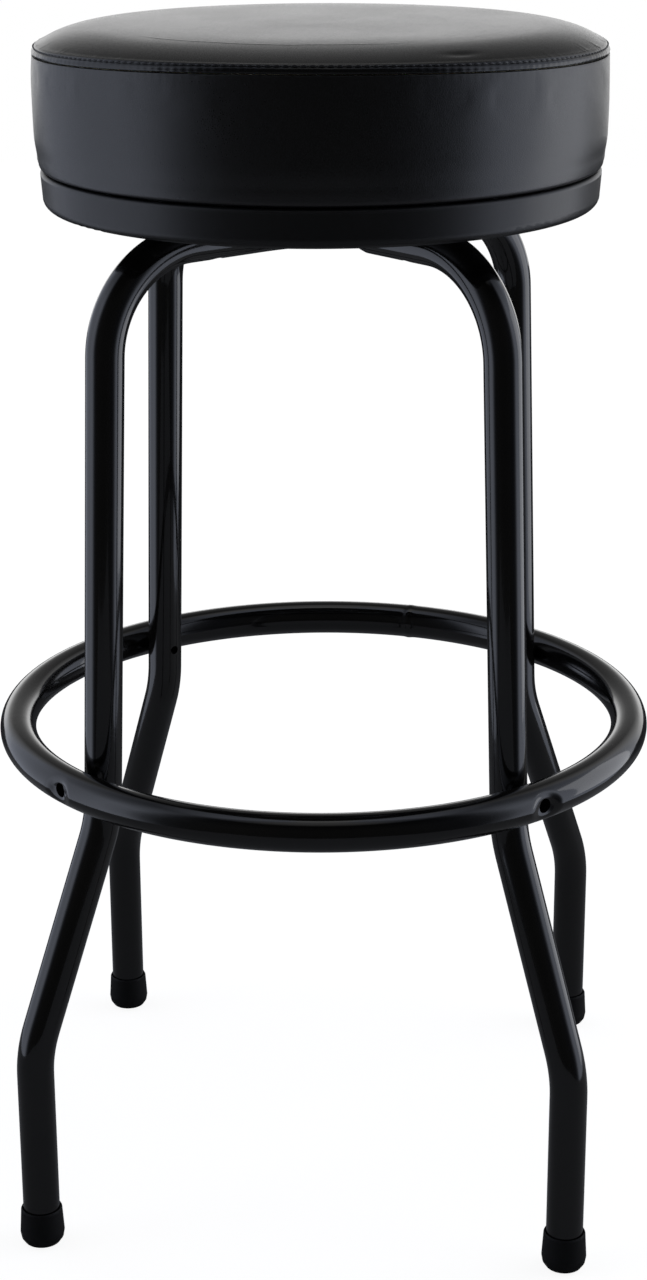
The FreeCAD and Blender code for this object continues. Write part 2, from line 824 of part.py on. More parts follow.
def frame_nuts():
    """Four hexagon nuts on the base plate."""
    body = new_body("frame_nuts", DIAGONAL)
    nut = new_sketch(body, "XY_Plane", plate_top)
    add_hexagon(nut, d.bolt_circle_radius, d.nut_across)
    add_circle(nut, d.bolt_circle_radius, 0, d.bolt_radius + d.seat_gap)
    repeat_round(body, [extrude(body, nut, d.nut_height)], QUARTERS)


def seat_bolts():
    """Four flanged bolts from the top plate up through the pan into the tee nuts."""
    body = new_body("seat_bolts", DIAGONAL)
    flange_top = pan_under - d.plate_sheet - d.seat_gap
    flange_bottom = flange_top - d.seat_bolt_flange_height
    bolt_end = board_top - d.tee_nut_flange_thickness
    flange = new_sketch(body, "XY_Plane", flange_bottom)
    add_circle(flange, d.bolt_circle_radius, 0, d.seat_bolt_flange_radius)
    head = new_sketch(body, "XY_Plane", flange_bottom)
    add_hexagon(head, d.bolt_circle_radius, d.seat_bolt_head_across)
    shank = new_sketch(body, "XY_Plane", flange_bottom)
    add_circle(shank, d.bolt_circle_radius, 0, d.bolt_radius)
    made = [
        extrude(body, flange, d.seat_bolt_flange_height),
        extrude(body, head, d.seat_bolt_head_height, backwards=True),
        extrude(body, shank, bolt_end - flange_bottom),
    ]
    repeat_round(body, made, QUARTERS)


def tee_nuts():
    """Four tee nuts let into the top of the seat board."""
    body = new_body("tee_nuts", DIAGONAL)
    thread = d.bolt_radius + d.seat_gap
    flange = new_sketch(body, "XY_Plane", board_top)
    add_circle(flange, d.bolt_circle_radius, 0, d.tee_nut_flange_radius)
    barrel = new_sketch(body, "XY_Plane", board_top)
    add_circle(barrel, d.bolt_circle_radius, 0, d.tee_nut_barrel_radius)
    bore = new_sketch(body, "XY_Plane", board_top)
    add_circle(bore, d.bolt_circle_radius, 0, thread)
    made = [
        extrude(body, flange, d.tee_nut_flange_thickness, backwards=True),
        extrude(body, barrel, d.tee_nut_barrel_length, backwards=True),
        extrude(body, bore, d.tee_nut_barrel_length, cut=True, backwards=True),
    ]
    repeat_round(body, made, QUARTERS)


frame_bolts()
frame_nuts()
seat_bolts()
tee_nuts()


# Seat pan: a pressed steel dish under the cushion, its rim rolled in at the bottom

def seat_pan():
    """The pan: raised middle under the board, stepped ring, drafted wall, rolled edge."""
    body = new_body("seat_pan")
    wall = d.pan_sheet
    mitre = wall * (math.sqrt(2) - 1)
    bottom = board_under - d.pan_height
    shelf = board_under - d.pan_step_depth
    step_foot = d.pan_step_radius + d.pan_step_depth
    wall_foot = d.pan_radius - d.pan_draft
    top_corner = d.pan_top_corner
    low_corner = d.pan_bottom_corner
    profile = new_sketch(body, "XZ_Plane")
    add_outline(
        profile,
        (0, board_under - wall),
        (d.pan_step_radius - mitre, board_under - wall),
        (step_foot - mitre, shelf - wall),
        (d.pan_radius - top_corner, shelf - wall),
        (d.pan_radius - wall, shelf - top_corner),
        (wall_foot - wall, bottom + low_corner),
        (wall_foot - low_corner, bottom + wall, low_corner - wall, -1),
        (wall_foot - low_corner - d.pan_return, bottom + wall),
        (wall_foot - low_corner - d.pan_return, bottom),
        (wall_foot - low_corner, bottom),
        (wall_foot, bottom + low_corner, low_corner, 1),
        (d.pan_radius, shelf - top_corner),
        (d.pan_radius - top_corner, shelf, top_corner, 1),
        (step_foot, shelf),
        (d.pan_step_radius, board_under),
        (0, board_under),
    )
    revolve(body, profile)
    hole = new_sketch(body, "XY_Plane", pan_under)
    reach = d.bolt_circle_radius * diagonal_share
    add_circle(hole, reach, reach, d.bolt_hole_radius)
    repeat_round(body, [extrude(body, hole, wall, cut=True)], QUARTERS)


def seat_board():
    """The plywood disc that carries the foam, drilled and sunk for the tee nuts."""
    body = new_body("seat_board")
    edge = d.board_edge_chamfer
    profile = new_sketch(body, "XZ_Plane")
    add_outline(
        profile,
        (0, board_under),
        (board_radius - edge, board_under),
        (board_radius, board_under + edge),
        (board_radius, board_top),
        (0, board_top),
    )
    revolve(body, profile)
    reach = d.bolt_circle_radius * diagonal_share
    barrel = new_sketch(body, "XY_Plane", board_top)
    add_circle(barrel, reach, reach, d.tee_nut_barrel_radius + d.seat_gap)
    flange = new_sketch(body, "XY_Plane", board_top)
    add_circle(flange, reach, reach, d.tee_nut_flange_radius + d.seat_gap)
    sinking = d.tee_nut_flange_thickness + d.seat_gap
    made = [
        extrude(body, barrel, d.board_thickness, cut=True, backwards=True),
        extrude(body, flange, sinking, cut=True, backwards=True),
    ]
    repeat_round(body, made, QUARTERS)


seat_pan()
seat_board()

# Cushion: foam under a three-piece cover of side band, edge strip and crowned top

roll_radius = edge_radius - d.crown_roll_width
roll_height = edge_height + d.crown_roll_drop
shoulder_height = crown_top - d.crown_shoulder_drop


def cushion_side_band():
    """The cover's side: drawn in at the foot, bulging in the middle, turned under."""
    body = new_body("seat_side_band")
    skin = d.cover_thickness
    corner = d.band_bottom_radius
    base = d.cushion_base_radius
    inner_edge = base - d.band_turn_under
    profile = new_sketch(body, "XZ_Plane")
    add_outline(
        profile,
        (inner_edge, cover_under),
        (base - corner, cover_under),
        (base, cover_under + corner, corner, 1),
        (d.cushion_seam_radius, seam_height, d.band_bulge_radius, 1),
        (d.cushion_seam_radius - skin, seam_height),
        (base - skin, cover_under + corner, d.band_bulge_radius - skin, -1),
        (base - corner, cover_under + skin, corner - skin, -1),
        (inner_edge, cover_under + skin),
    )
    revolve(body, profile)


def cushion_edge_strip():
    """The narrow stitched strip between the side seam and the top panel."""
    body = new_body("seat_edge_strip")
    foot = seam_height + d.seat_gap
    head = edge_height - d.seat_gap
    profile = new_sketch(body, "XZ_Plane")
    add_outline(
        profile,
        (d.cushion_seam_radius - d.welt_thickness, foot),
        (d.cushion_seam_radius, foot),
        (edge_radius, head, d.welt_bulge_radius, 1),
        (edge_radius - d.welt_thickness, head),
    )
    revolve(body, profile)


def cushion_top():
    """The crowned top panel, almost flat in the middle and rolled down at its edge."""
    body = new_body("seat_top_cover")
    skin = d.cover_thickness
    profile = new_sketch(body, "XZ_Plane")
    add_outline(
        profile,
        (0, crown_top - skin, ON_AXIS, 1),
        (0, crown_top),
        (d.crown_shoulder_radius, shoulder_height, ON_AXIS, -1),
        (roll_radius, roll_height, d.crown_shoulder_bend, -1),
        (edge_radius, edge_height, d.crown_roll_bend, -1),
        (edge_radius - skin, edge_height),
        (roll_radius, roll_height - skin, d.crown_roll_bend - skin, 1),
        (d.crown_shoulder_radius, shoulder_height - skin, d.crown_shoulder_bend - skin, 1),
    )
    revolve(body, profile)


def cushion_foam():
    """The foam pad on the board, a little inside its cover all round."""
    body = new_body("foam_pad")
    inset = d.cover_thickness + d.soft_gap
    welt_inset = d.welt_thickness + d.soft_gap
    profile = new_sketch(body, "XZ_Plane")
    add_outline(
        profile,
        (0, board_top + d.soft_gap),
        (board_radius, board_top + d.soft_gap),
        (d.cushion_seam_radius - welt_inset, seam_height),
        (edge_radius - welt_inset, edge_height - inset),
        (roll_radius, roll_height - inset),
        (d.crown_shoulder_radius, shoulder_height - inset),
        (0, crown_top - inset),
    )
    revolve(body, profile)


def cover_staples():
    """Wire staples that fix the turned-in edge of the cover to the board."""
    body = new_body("cover_staples")
    wire = d.staple_wire
    half = d.staple_width / 2
    tip = cover_under + d.cover_thickness + d.staple_leg
    staple = new_sketch(body, "YZ_Plane", d.cushion_base_radius - d.staple_inset)
    add_outline(
        staple,
        (-half, cover_under - wire),
        (half, cover_under - wire),
        (half, tip),
        (half - wire, tip),
        (half - wire, cover_under),
        (wire - half, cover_under),
        (wire - half, tip),
        (-half, tip),
    )
    repeat_round(body, [extrude(body, staple, d.staple_strip)], d.staple_count)


cushion_side_band()
cushion_edge_strip()
cushion_top()
cushion_foam()
cover_staples()


def finish():
    """Check every object and write each sub-part to its own file."""
    doc.recompute()
    broken = [item.Name for item in doc.Objects
              if "Invalid" in item.State or "Error" in item.State]
    broken += [part.Label for part in parts
               if part.Shape.isNull() or not part.Shape.isValid()]
    if broken:
        raise RuntimeError(f"failed objects: {broken}")
    os.makedirs("parts", exist_ok=True)
    for part in parts:
        part.Shape.exportStep(os.path.join("parts", f"{part.Label}.step"))
        box = part.Shape.BoundBox
        print(f"{part.Label:20s} solids {len(part.Shape.Solids):3d} "
              f"volume {part.Shape.Volume:10.1f} z {box.ZMin:7.2f} to {box.ZMax:7.2f}")


finish()
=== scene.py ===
import math

import bpy
import numpy as np
from mathutils import Matrix, Vector


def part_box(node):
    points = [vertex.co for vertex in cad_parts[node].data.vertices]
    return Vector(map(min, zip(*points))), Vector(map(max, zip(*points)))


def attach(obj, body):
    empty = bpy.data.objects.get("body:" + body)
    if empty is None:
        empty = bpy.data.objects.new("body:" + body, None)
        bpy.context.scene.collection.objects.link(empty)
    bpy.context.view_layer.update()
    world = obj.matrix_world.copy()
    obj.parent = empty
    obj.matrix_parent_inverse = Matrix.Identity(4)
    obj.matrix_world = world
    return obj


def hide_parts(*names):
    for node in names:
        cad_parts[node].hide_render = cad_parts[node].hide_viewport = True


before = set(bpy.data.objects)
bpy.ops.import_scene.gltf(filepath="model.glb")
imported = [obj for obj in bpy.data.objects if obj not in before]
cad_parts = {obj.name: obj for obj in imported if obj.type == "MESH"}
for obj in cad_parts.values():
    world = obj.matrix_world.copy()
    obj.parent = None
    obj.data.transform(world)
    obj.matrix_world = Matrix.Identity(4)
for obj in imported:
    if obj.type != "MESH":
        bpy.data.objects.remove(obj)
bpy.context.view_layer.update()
mm = 0.001


# Leg frames: two lengths of 23.6 mm steel tube, each bent into a pair of legs and pressed
# to half its height in the middle, so that the two cross level under the seat. They are
# coated with gloss black baked enamel, which pools a little and shows long reflections.

leg_low, leg_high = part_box("leg_frame_upper")
ring_low, ring_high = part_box("foot_ring")
tube = 23.6 * mm
tube_radius = tube / 2
run_height = leg_high.z - tube_radius
foot_radius = (leg_high.x - tube_radius) * math.sqrt(2)
ring_radius = ring_high.x - tube_radius
ring_height = (ring_low.z + ring_high.z) / 2
leg_at_ring = ring_radius - tube - 0.15 * mm
leg_top_radius = 165 * mm
upper_knee_height = 281 * mm
lower_knee_height = 137 * mm
top_bend = 63.5 * mm
knee_bend = 80 * mm
lap_height = 11.6 * mm
lap_width = 18.4 * mm
lap_side = 6.9 * mm
lap_half_length = 18 * mm
lap_taper = 30 * mm
bolt_circle = 85 * mm
insert_hole = 3.6 * mm
inner_hole = 3 * mm
bolt_hole = 3.3 * mm
wrench_hole = 5.6 * mm


class Wire:
    """One output of a material's nodes; sums and products of wires add Math nodes."""

    def __init__(self, finish, socket):
        self.finish = finish
        self.socket = socket

    def joined(self, operation, first, second):
        return self.finish.node("Math", {"operation": operation}, {0: first, 1: second})

    def __add__(self, other):
        return self.joined("ADD", self, other)

    def __sub__(self, other):
        return self.joined("SUBTRACT", self, other)

    def __mul__(self, other):
        return self.joined("MULTIPLY", self, other)

    def __pow__(self, other):
        return self.joined("POWER", self, other)

    def __radd__(self, other):
        return self.joined("ADD", other, self)

    def __rsub__(self, other):
        return self.joined("SUBTRACT", other, self)

    def __rmul__(self, other):
        return self.joined("MULTIPLY", other, self)


class Finish:
    """A material in the making: its nodes, and the shader that they feed."""

    def __init__(self, name, **constants):
        self.material = bpy.data.materials.new(name)
        self.material.use_nodes = True
        self.tree = self.material.node_tree
        self.shader = self.tree.nodes["Principled BSDF"]
        for socket, value in constants.items():
            self.feed(self.shader.inputs[socket.replace("_", " ")], value)

    def feed(self, socket, value):
        """Links a wire to a socket, or sets the socket to a plain value."""
        if isinstance(value, Wire):
            self.tree.links.new(value.socket, socket)
        else:
            socket.default_value = value

    def node(self, kind, settings=None, inputs=None, output=0):
        """Adds a node: its settings first, then the values or wires of its sockets."""
        made = self.tree.nodes.new("ShaderNode" + kind)
        for name, value in (settings or {}).items():
            if name == "stops":
                ramp = made.color_ramp
                for place, shade in value[1:-1]:
                    ramp.elements.new(place)
                for element, (place, shade) in zip(ramp.elements, value):
                    element.position = place
                    element.color = (shade, shade, shade, 1)
            else:
                setattr(made, name, value)
        for name, value in (inputs or {}).items():
            self.feed(made.inputs[name], value)
        return Wire(self, made.outputs[output])

    def place(self):
        """The point on the object, in metres."""
        return self.node("TexCoord", output="Object")

    def stretched(self, scale):
        """The point on the object with each axis stretched by its own factor."""
        return self.node("VectorMath", {"operation": "MULTIPLY"},
                         {0: self.place(), 1: scale})

    def noise(self, scale, detail=2.0, roughness=0.5, vector=None):
        """Soft cloudy noise around 0.5; scale is in cells per metre."""
        return self.node("TexNoise", None, {"Vector": vector or self.place(), "Scale": scale,
                                            "Detail": detail, "Roughness": roughness}, "Fac")

    def ramp(self, value, *stops):
        """A value remapped through grey stops of (place, shade)."""
        return self.node("ValToRGB", {"stops": stops}, {"Fac": value})

    def blend(self, share, first, second):
        """The mix of two colours by a share from 0 to 1."""
        return self.node("Mix", {"data_type": "RGBA"}, {0: share, 6: first, 7: second}, 2)

    def colour(self, value):
        self.feed(self.shader.inputs["Base Color"], value)

    def rough(self, value):
        self.feed(self.shader.inputs["Roughness"], value)

    def relief(self, height, depth, strength=1.0):
        """Bumps of the surface: a height from 0 to 1 times a depth in metres."""
        bump = self.node("Bump", None, {"Height": height, "Distance": depth,
                                        "Strength": strength}, "Normal")
        self.feed(self.shader.inputs["Normal"], bump)


def gloss_enamel():
    """Black baked enamel: orange peel, faint dust and a few duller, rubbed patches."""
    paint = Finish("gloss_enamel", Coat_Weight=0.6, Coat_Roughness=0.035, IOR=1.5)
    clouds = paint.noise(14, 3)
    dust = paint.ramp(paint.noise(2600, 1), (0.0, 0.0), (0.70, 0.0), (0.80, 1.0), (1.0, 1.0))
    black = (0.0035, 0.0034, 0.0034, 1)
    brown = (0.0085, 0.0075, 0.0065, 1)
    grey = (0.045, 0.045, 0.043, 1)
    worn = paint.blend(paint.ramp(clouds, (0.35, 0.0), (0.75, 1.0)), black, brown)
    paint.colour(paint.blend(dust * 0.25, worn, grey))
    paint.rough(0.08 + clouds * 0.08 + dust * 0.2)
    peel = paint.noise(160, 2) * 0.8 + paint.noise(900, 1) * 0.2
    paint.relief(peel, 0.035 * mm)
    return paint.material


def add_piece(name, points, faces, body, material, sharp=35):
    """A mesh object from arrays of points and faces, smooth but for its sharp edges."""
    mesh = bpy.data.meshes.new(name)
    mesh.from_pydata(points.tolist(), [], faces)
    mesh.validate()
    mesh.materials.append(material)
    mesh.shade_smooth()
    mesh.set_sharp_from_angle(angle=math.radians(sharp))
    piece = bpy.data.objects.new(name, mesh)
    bpy.context.scene.collection.objects.link(piece)
    if body:
        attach(piece, body)
    return piece


def grid_faces(rows, columns, round_columns=True, flip=False):
    """Quads between neighbouring points of a grid; columns may close into a ring."""
    wide = columns if round_columns else columns - 1
    row, column = np.meshgrid(np.arange(rows - 1), np.arange(wide), indexing="ij")
    near = row * columns + column
    across = row * columns + (column + 1) % columns
    quads = np.stack([near, across, across + columns, near + columns], axis=-1)
    quads = quads.reshape(-1, 4)
    return (quads[:, ::-1] if flip else quads).tolist()


def bent_line(corners, bends, spacing):
    """Points and headings along straight runs with rounded corners, in a plane.

    An arc of radius b takes each corner's place. It starts b * tan(turn / 2) before the
    corner, and at heading h it stands at start + side * b * (sin h - sin h0, cos h0 - cos h).
    """
    corners = np.array(corners, float)
    runs = np.diff(corners, axis=0)
    headings = np.arctan2(runs[:, 1], runs[:, 0])
    places, turns = [corners[:1]], [headings[:1]]
    for corner, bend, first, second in zip(corners[1:-1], bends, headings, headings[1:]):
        turn = (second - first + math.pi) % (2 * math.pi) - math.pi
        cut = bend * math.tan(abs(turn) / 2)
        start = corner - cut * np.array([math.cos(first), math.sin(first)])
        run = np.linalg.norm(start - places[-1][-1])
        along = np.linspace(0, 1, max(2, int(run / spacing)))[1:-1, None]
        places.append(places[-1][-1] + along * (start - places[-1][-1]))
        turns.append(np.full(len(along), first))
        swept = first + turn * np.linspace(0, 1, max(8, int(bend * abs(turn) / spacing)))
        side = math.copysign(bend, turn)
        places.append(start + side * np.stack([np.sin(swept) - math.sin(first),
                                               math.cos(first) - np.cos(swept)], axis=1))
        turns.append(swept)
    last = places[-1][-1]
    run = np.linalg.norm(corners[-1] - last)
    along = np.linspace(0, 1, max(2, int(run / spacing)))[1:, None]
    places.append(last + along * (corners[-1] - last))
    turns.append(np.full(len(along), headings[-1]))
    return np.concatenate(places), np.concatenate(turns)


def drill(start, direction, radius, length, sides=40):
    """Points and faces of a closed cylinder from a start point along a direction."""
    direction = np.array(direction, float)
    direction /= np.linalg.norm(direction)
    side = np.cross(direction, [0, 0, 1] if abs(direction[2]) < 0.9 else [1, 0, 0])
    side /= np.linalg.norm(side)
    other = np.cross(direction, side)
    angle = np.arange(sides) / sides * 2 * math.pi
    rim = radius * (np.cos(angle)[:, None] * side + np.sin(angle)[:, None] * other)
    points = np.concatenate([start + rim, start + direction * length + rim])
    faces = grid_faces(2, sides)
    faces += [list(range(sides))[::-1], list(range(sides, 2 * sides))]
    return points, faces


def bore(piece, drills):
    """Takes the drills' volume out of a piece, and keeps the cut's edges sharp."""
    points, faces = [], []
    for more_points, more_faces in drills:
        shift = sum(len(part) for part in points)
        points.append(more_points)
        faces += [[index + shift for index in face] for face in more_faces]
    tool = add_piece("drills", np.concatenate(points), faces, None,
                     piece.data.materials[0])
    cut = piece.modifiers.new("cut", "BOOLEAN")
    cut.operation = "DIFFERENCE"
    cut.solver = "EXACT"
    cut.object = tool
    graph = bpy.context.evaluated_depsgraph_get()
    mesh = bpy.data.meshes.new_from_object(piece.evaluated_get(graph))
    piece.modifiers.clear()
    mesh.materials.clear()
    mesh.materials.append(piece.data.materials[0])
    piece.data = mesh
    bpy.data.objects.remove(tool)
    mesh.shade_smooth()
    mesh.set_sharp_from_angle(angle=math.radians(35))


def tube_sections(share, sides):
    """Sections of a tube pressed by a share from 0 to 1, as (across, up) arrays.

    Each quarter of the circle goes over, point by point, to one side of the pressed form:
    two flats of the lap's width and height, joined by side arcs of their own radius.
    """
    step = np.linspace(-1, 1, sides // 4, endpoint=False)
    circle = step * math.pi / 4
    half, rise = lap_width / 2, lap_height / 2
    reach = math.asin(rise / lap_side)
    bulge = half - lap_side * math.cos(reach)
    right = np.stack([bulge + lap_side * np.cos(reach * step),
                      lap_side * np.sin(reach * step)], axis=1)
    top = np.stack([-half * step, np.full_like(step, rise)], axis=1)
    pressed = np.concatenate([right, top, -right, -top])
    quarters = [circle + quarter * math.pi / 2 for quarter in range(4)]
    around = np.concatenate(quarters)
    tubular = tube_radius * np.stack([np.cos(around), np.sin(around)], axis=1)
    return tubular + np.asarray(share)[:, None, None] * (pressed - tubular)


def leg_frame(name, turn, lap_side_up, material):
    """One bent tube: its sections stand square to the centre line and carry its press."""
    end_height = leg_low.z
    knee_radius = leg_at_ring + ((leg_at_ring - leg_top_radius)
                                 / (run_height - ring_height)
                                 * (ring_height - upper_knee_height))
    half = [(leg_top_radius, run_height), (knee_radius, upper_knee_height),
            (foot_radius, lower_knee_height), (foot_radius, end_height)]
    corners = [(-x, z) for x, z in half[::-1]] + half
    bends = [knee_bend, knee_bend, top_bend, top_bend, knee_bend, knee_bend]
    line, heading = bent_line(corners, bends, 3 * mm)
    reach = np.abs(line[:, 0])
    share = np.clip((lap_half_length + lap_taper - reach) / lap_taper, 0, 1)
    share[line[:, 1] < run_height - mm] = 0
    section = tube_sections(share, 56)
    lift = share * lap_side_up * (tube_radius - lap_height / 2)
    up = section[:, :, 1] + lift[:, None]
    along = line[:, None, 0] - np.sin(heading)[:, None] * up
    rise = line[:, None, 1] + np.cos(heading)[:, None] * up
    across = section[:, :, 0]
    turned = math.radians(turn)
    points = np.stack([along * math.cos(turned) - across * math.sin(turned),
                       along * math.sin(turned) + across * math.cos(turned), rise], axis=-1)
    rows, sides = rise.shape
    faces = grid_faces(rows, sides)
    faces += [list(range(sides))[::-1], list(range((rows - 1) * sides, rows * sides))]
    piece = add_piece(name, points.reshape(-1, 3), faces, "frame", material)
    drills = []
    for side in (-1, 1):
        out = side * np.array([math.cos(turned), math.sin(turned), 0])
        leg = out * leg_at_ring + [0, 0, ring_height]
        run = out * bolt_circle + [0, 0, run_height]
        drills += [drill(leg + out * 2 * mm, out, insert_hole, tube),
                   drill(leg - out * 2 * mm, -out, inner_hole, tube),
                   drill(run + [0, 0, 2 * mm], (0, 0, 1), bolt_hole, tube),
                   drill(run + [0, 0, 3 * mm], (0, 0, -1), wrench_hole, tube)]
    bore(piece, drills)
    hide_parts(name)
    return piece


enamel = gloss_enamel()
leg_frame("leg_frame_lower", 45, -1, enamel).name = "leg_tubes_lower"
leg_frame("leg_frame_upper", 135, 1, enamel).name = "leg_tubes_upper"


# Foot ring: the same tube bent into a closed hoop outside the legs, butt welded at the back
# and enamelled. At each leg it is pressed in to a dish round the access hole of its screw.

dish_depth = 4.4 * mm
dish_rim = 4 * mm
dish_reach = 11 * mm
dish_tall = 0.8
access_hole = 4.6 * mm
cavity = 9.9 * mm
weld_turn = math.radians(77)
weld_rise = 0.35 * mm


def soft_lower(first, second, rounding):
    """The lower of two arrays, rounded where they meet (a polynomial smooth minimum)."""
    share = np.clip(0.5 + 0.5 * (second - first) / rounding, 0, 1)
    return second + (first - second) * share - rounding * share * (1 - share)


def foot_ring():
    """A torus whose points near each diagonal are pressed back to the dish's bowl.

    With a the distance out along the diagonal and p the distance from it, a becomes the
    rounded lower of itself and c + d * (p * p / (r * r) - 1), where d and r are the bowl's
    depth and reach. Points stand closer together round the four dishes and the weld, a low
    bead exp(-(b / 2.4 mm)^2) at a distance b along the hoop.
    """
    fine = np.radians(np.linspace(-4.5, 4.5, 61))
    coarse = np.radians(np.linspace(4.5, 85.5, 65)[1:-1])
    quarter = np.concatenate([fine, coarse]) + math.pi / 4
    weld = weld_turn + np.radians(np.linspace(-1.6, 1.6, 17))
    round_ring = np.concatenate([quarter + turn * math.pi / 2 for turn in range(4)] + [weld])
    round_ring = np.unique(round_ring.round(5))
    round_tube = np.linspace(0, 2 * math.pi, 96, endpoint=False)
    ring_angle, tube_angle = np.meshgrid(round_ring, round_tube, indexing="ij")
    along_weld = ring_radius * (ring_angle - weld_turn) / (2.4 * mm)
    bead = weld_rise * np.exp(-along_weld ** 2) * (1 + 0.3 * np.sin(9 * tube_angle))
    reach = ring_radius + (tube_radius + bead) * np.cos(tube_angle)
    rise = (tube_radius + bead) * np.sin(tube_angle)
    nearest = (ring_angle // (math.pi / 2)) * math.pi / 2 + math.pi / 4
    off = (ring_angle - nearest + math.pi) % (2 * math.pi) - math.pi
    out = reach * np.cos(off)
    aside = reach * np.sin(off)
    far = (aside ** 2 + (dish_tall * rise) ** 2) / dish_reach ** 2
    bowl = ring_radius + tube_radius + 0.6 * mm + dish_depth * (far - 1)
    pressed = soft_lower(out, bowl, dish_rim)
    out = np.where(out > ring_radius, pressed, out)
    x = out * np.cos(nearest) - aside * np.sin(nearest)
    y = out * np.sin(nearest) + aside * np.cos(nearest)
    points = np.stack([x, y, ring_height + rise], axis=-1)
    rows, sides = x.shape
    faces = grid_faces(rows, sides)
    last = (rows - 1) * sides
    column = np.arange(sides)
    seam = np.stack([last + column, last + (column + 1) % sides,
                     (column + 1) % sides, column], axis=1)
    piece = add_piece("foot_ring_tube", points.reshape(-1, 3), faces + seam.tolist(),
                      "frame", enamel)
    drills = []
    for turn in range(4):
        angle = math.pi / 4 + turn * math.pi / 2
        outward = np.array([math.cos(angle), math.sin(angle), 0])
        start = outward * (ring_radius - cavity) + [0, 0, ring_height]
        drills.append(drill(start, outward, access_hole, 2 * tube))
    bore(piece, drills)
    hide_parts("foot_ring")


foot_ring()

scene = bpy.context.scene


# Rubber feet: moulded black caps pushed over the tube ends. The rubber is matte, a little
# grey where it has rubbed, and shows fine speckle from the mould.

def finish_node(node, material):
    """Puts a material on a CAD node, whose shape stays as it is."""
    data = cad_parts[node].data
    data.materials.clear()
    data.materials.append(material)


def cap_rubber():
    """Matte rubber: fine speckle, scuffs that grow towards the floor."""
    rubber = Finish("cap_rubber", Specular_IOR_Level=0.3)
    height = rubber.node("SeparateXYZ", None, {"Vector": rubber.place()}, "Z")
    low = rubber.ramp(height * 60, (0.0, 1.0), (0.5, 0.25), (1.0, 0.0))
    scuffs = rubber.ramp(rubber.noise(160, 4, 0.7), (0.45, 0.0), (0.7, 1.0))
    black = (0.0065, 0.0065, 0.0068, 1)
    grey = (0.035, 0.034, 0.033, 1)
    rubber.colour(rubber.blend(scuffs * (0.2 + low * 0.5), black, grey))
    rubber.rough(0.62 + scuffs * 0.2)
    rubber.relief(rubber.noise(1800, 2) * 0.6 + rubber.noise(300, 2) * 0.4, 0.08 * mm)
    return rubber.material


rubber_finish = cap_rubber()
for foot in ("foot_rear_right", "foot_rear_left", "foot_front_left", "foot_front_right"):
    finish_node(foot, rubber_finish)


# Swivel and fasteners: pressed plates, rivet, washers, nuts and bolts of zinc-plated
# steel, a cage and balls in a smear of grease, and black socket screws in the ring.

def plated_steel(name, colour, shade, roughness):
    """Plated steel: cloudy plating, rolling lines along one way and fine scratches."""
    steel = Finish(name, Metallic=1.0)
    clouds = steel.noise(90, 4, 0.6)
    lines = steel.noise(1, 2, 0.6, steel.stretched((2200, 60, 400)))
    steel.colour(steel.blend(clouds, colour, shade))
    steel.rough(roughness + clouds * 0.12 + lines * 0.1)
    steel.relief(lines * 0.5 + clouds * 0.5, 0.02 * mm)
    return steel.material


zinc = plated_steel("zinc_plated_steel", (0.50, 0.51, 0.53, 1), (0.66, 0.66, 0.64, 1), 0.28)
black_steel = plated_steel("blackened_steel", (0.03, 0.03, 0.032, 1),
                           (0.06, 0.06, 0.06, 1), 0.3)
ball_steel = plated_steel("polished_ball_steel", (0.62, 0.62, 0.63, 1),
                          (0.7, 0.7, 0.7, 1), 0.08)
for node in ("ring_insert_nuts", "foot_washers", "swivel_base_plate", "swivel_top_plate",
             "swivel_rivet", "swivel_washer", "frame_nuts", "seat_bolts", "tee_nuts",
             "ball_cage", "cover_staples"):
    finish_node(node, zinc)
for node in ("ring_screws", "frame_bolts"):
    finish_node(node, black_steel)
finish_node("bearing_balls", ball_steel)


# Seat pan: a deep-drawn steel dish under the cushion, its rim rolled in. It is painted
# satin black, with faint vertical drawing marks, and a painted highlight lightens its top
# edge.

pan_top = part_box("seat_pan")[1].z


def satin_enamel():
    """Satin black paint: drawing marks round the wall and a painted highlight on the top lip.
    """
    paint = Finish("satin_enamel", Coat_Weight=0.15, Coat_Roughness=0.25)
    height = paint.node("SeparateXYZ", None, {"Vector": paint.place()}, "Z")
    lip = pan_top - 4.5 * mm
    # Painted highlight: the colour turns lighter in a band just under the top lip, where its
    # rounded edge catches the light.
    painted_lip_highlight = paint.ramp((height - lip) * 300 + 0.5, (0.0, 0.0), (0.45, 0.0), (0.62, 1.0),
                          (1.0, 1.0))
    marks = paint.noise(1, 3, 0.6, paint.stretched((700, 700, 12)))
    clouds = paint.noise(30, 3)
    black = (0.0045, 0.0044, 0.0044, 1)
    # The lighter grey of the painted highlight on the top lip.
    highlight_grey = (0.03, 0.03, 0.03, 1)
    paint.colour(paint.blend(painted_lip_highlight * (0.3 + clouds * 0.4), black, highlight_grey))
    paint.rough(0.3 + marks * 0.1 + clouds * 0.08)
    paint.relief(marks * 0.4 + paint.noise(500, 2) * 0.6, 0.03 * mm)
    return paint.material


finish_node("seat_pan", satin_enamel())


# Seat board: a disc of birch plywood, its cut edge showing the plies.

def birch_plywood():
    """Pale birch: long grain on the faces, thin plies in turn on the edge."""
    wood = Finish("birch_plywood")
    grain = wood.noise(1, 5, 0.65, wood.stretched((30, 420, 420)))
    height = wood.node("SeparateXYZ", None, {"Vector": wood.place()}, "Z")
    plies = wood.node("Math", {"operation": "PINGPONG"},
                      {0: height * 1000 + grain * 0.3, 1: 1.3})
    tone = wood.ramp(grain * 0.7 + plies * 0.25, (0.2, 0.0), (0.85, 1.0))
    wood.colour(wood.blend(tone, (0.42, 0.27, 0.13, 1), (0.68, 0.52, 0.32, 1)))
    wood.rough(0.55 + grain * 0.2)
    wood.relief(grain, 0.15 * mm)
    return wood.material


finish_node("seat_board", birch_plywood())


# Foam pad: a block of cut foam glued on the board, crowned and rounded at its edge. It is
# held small enough to stay clear of the cover all round.

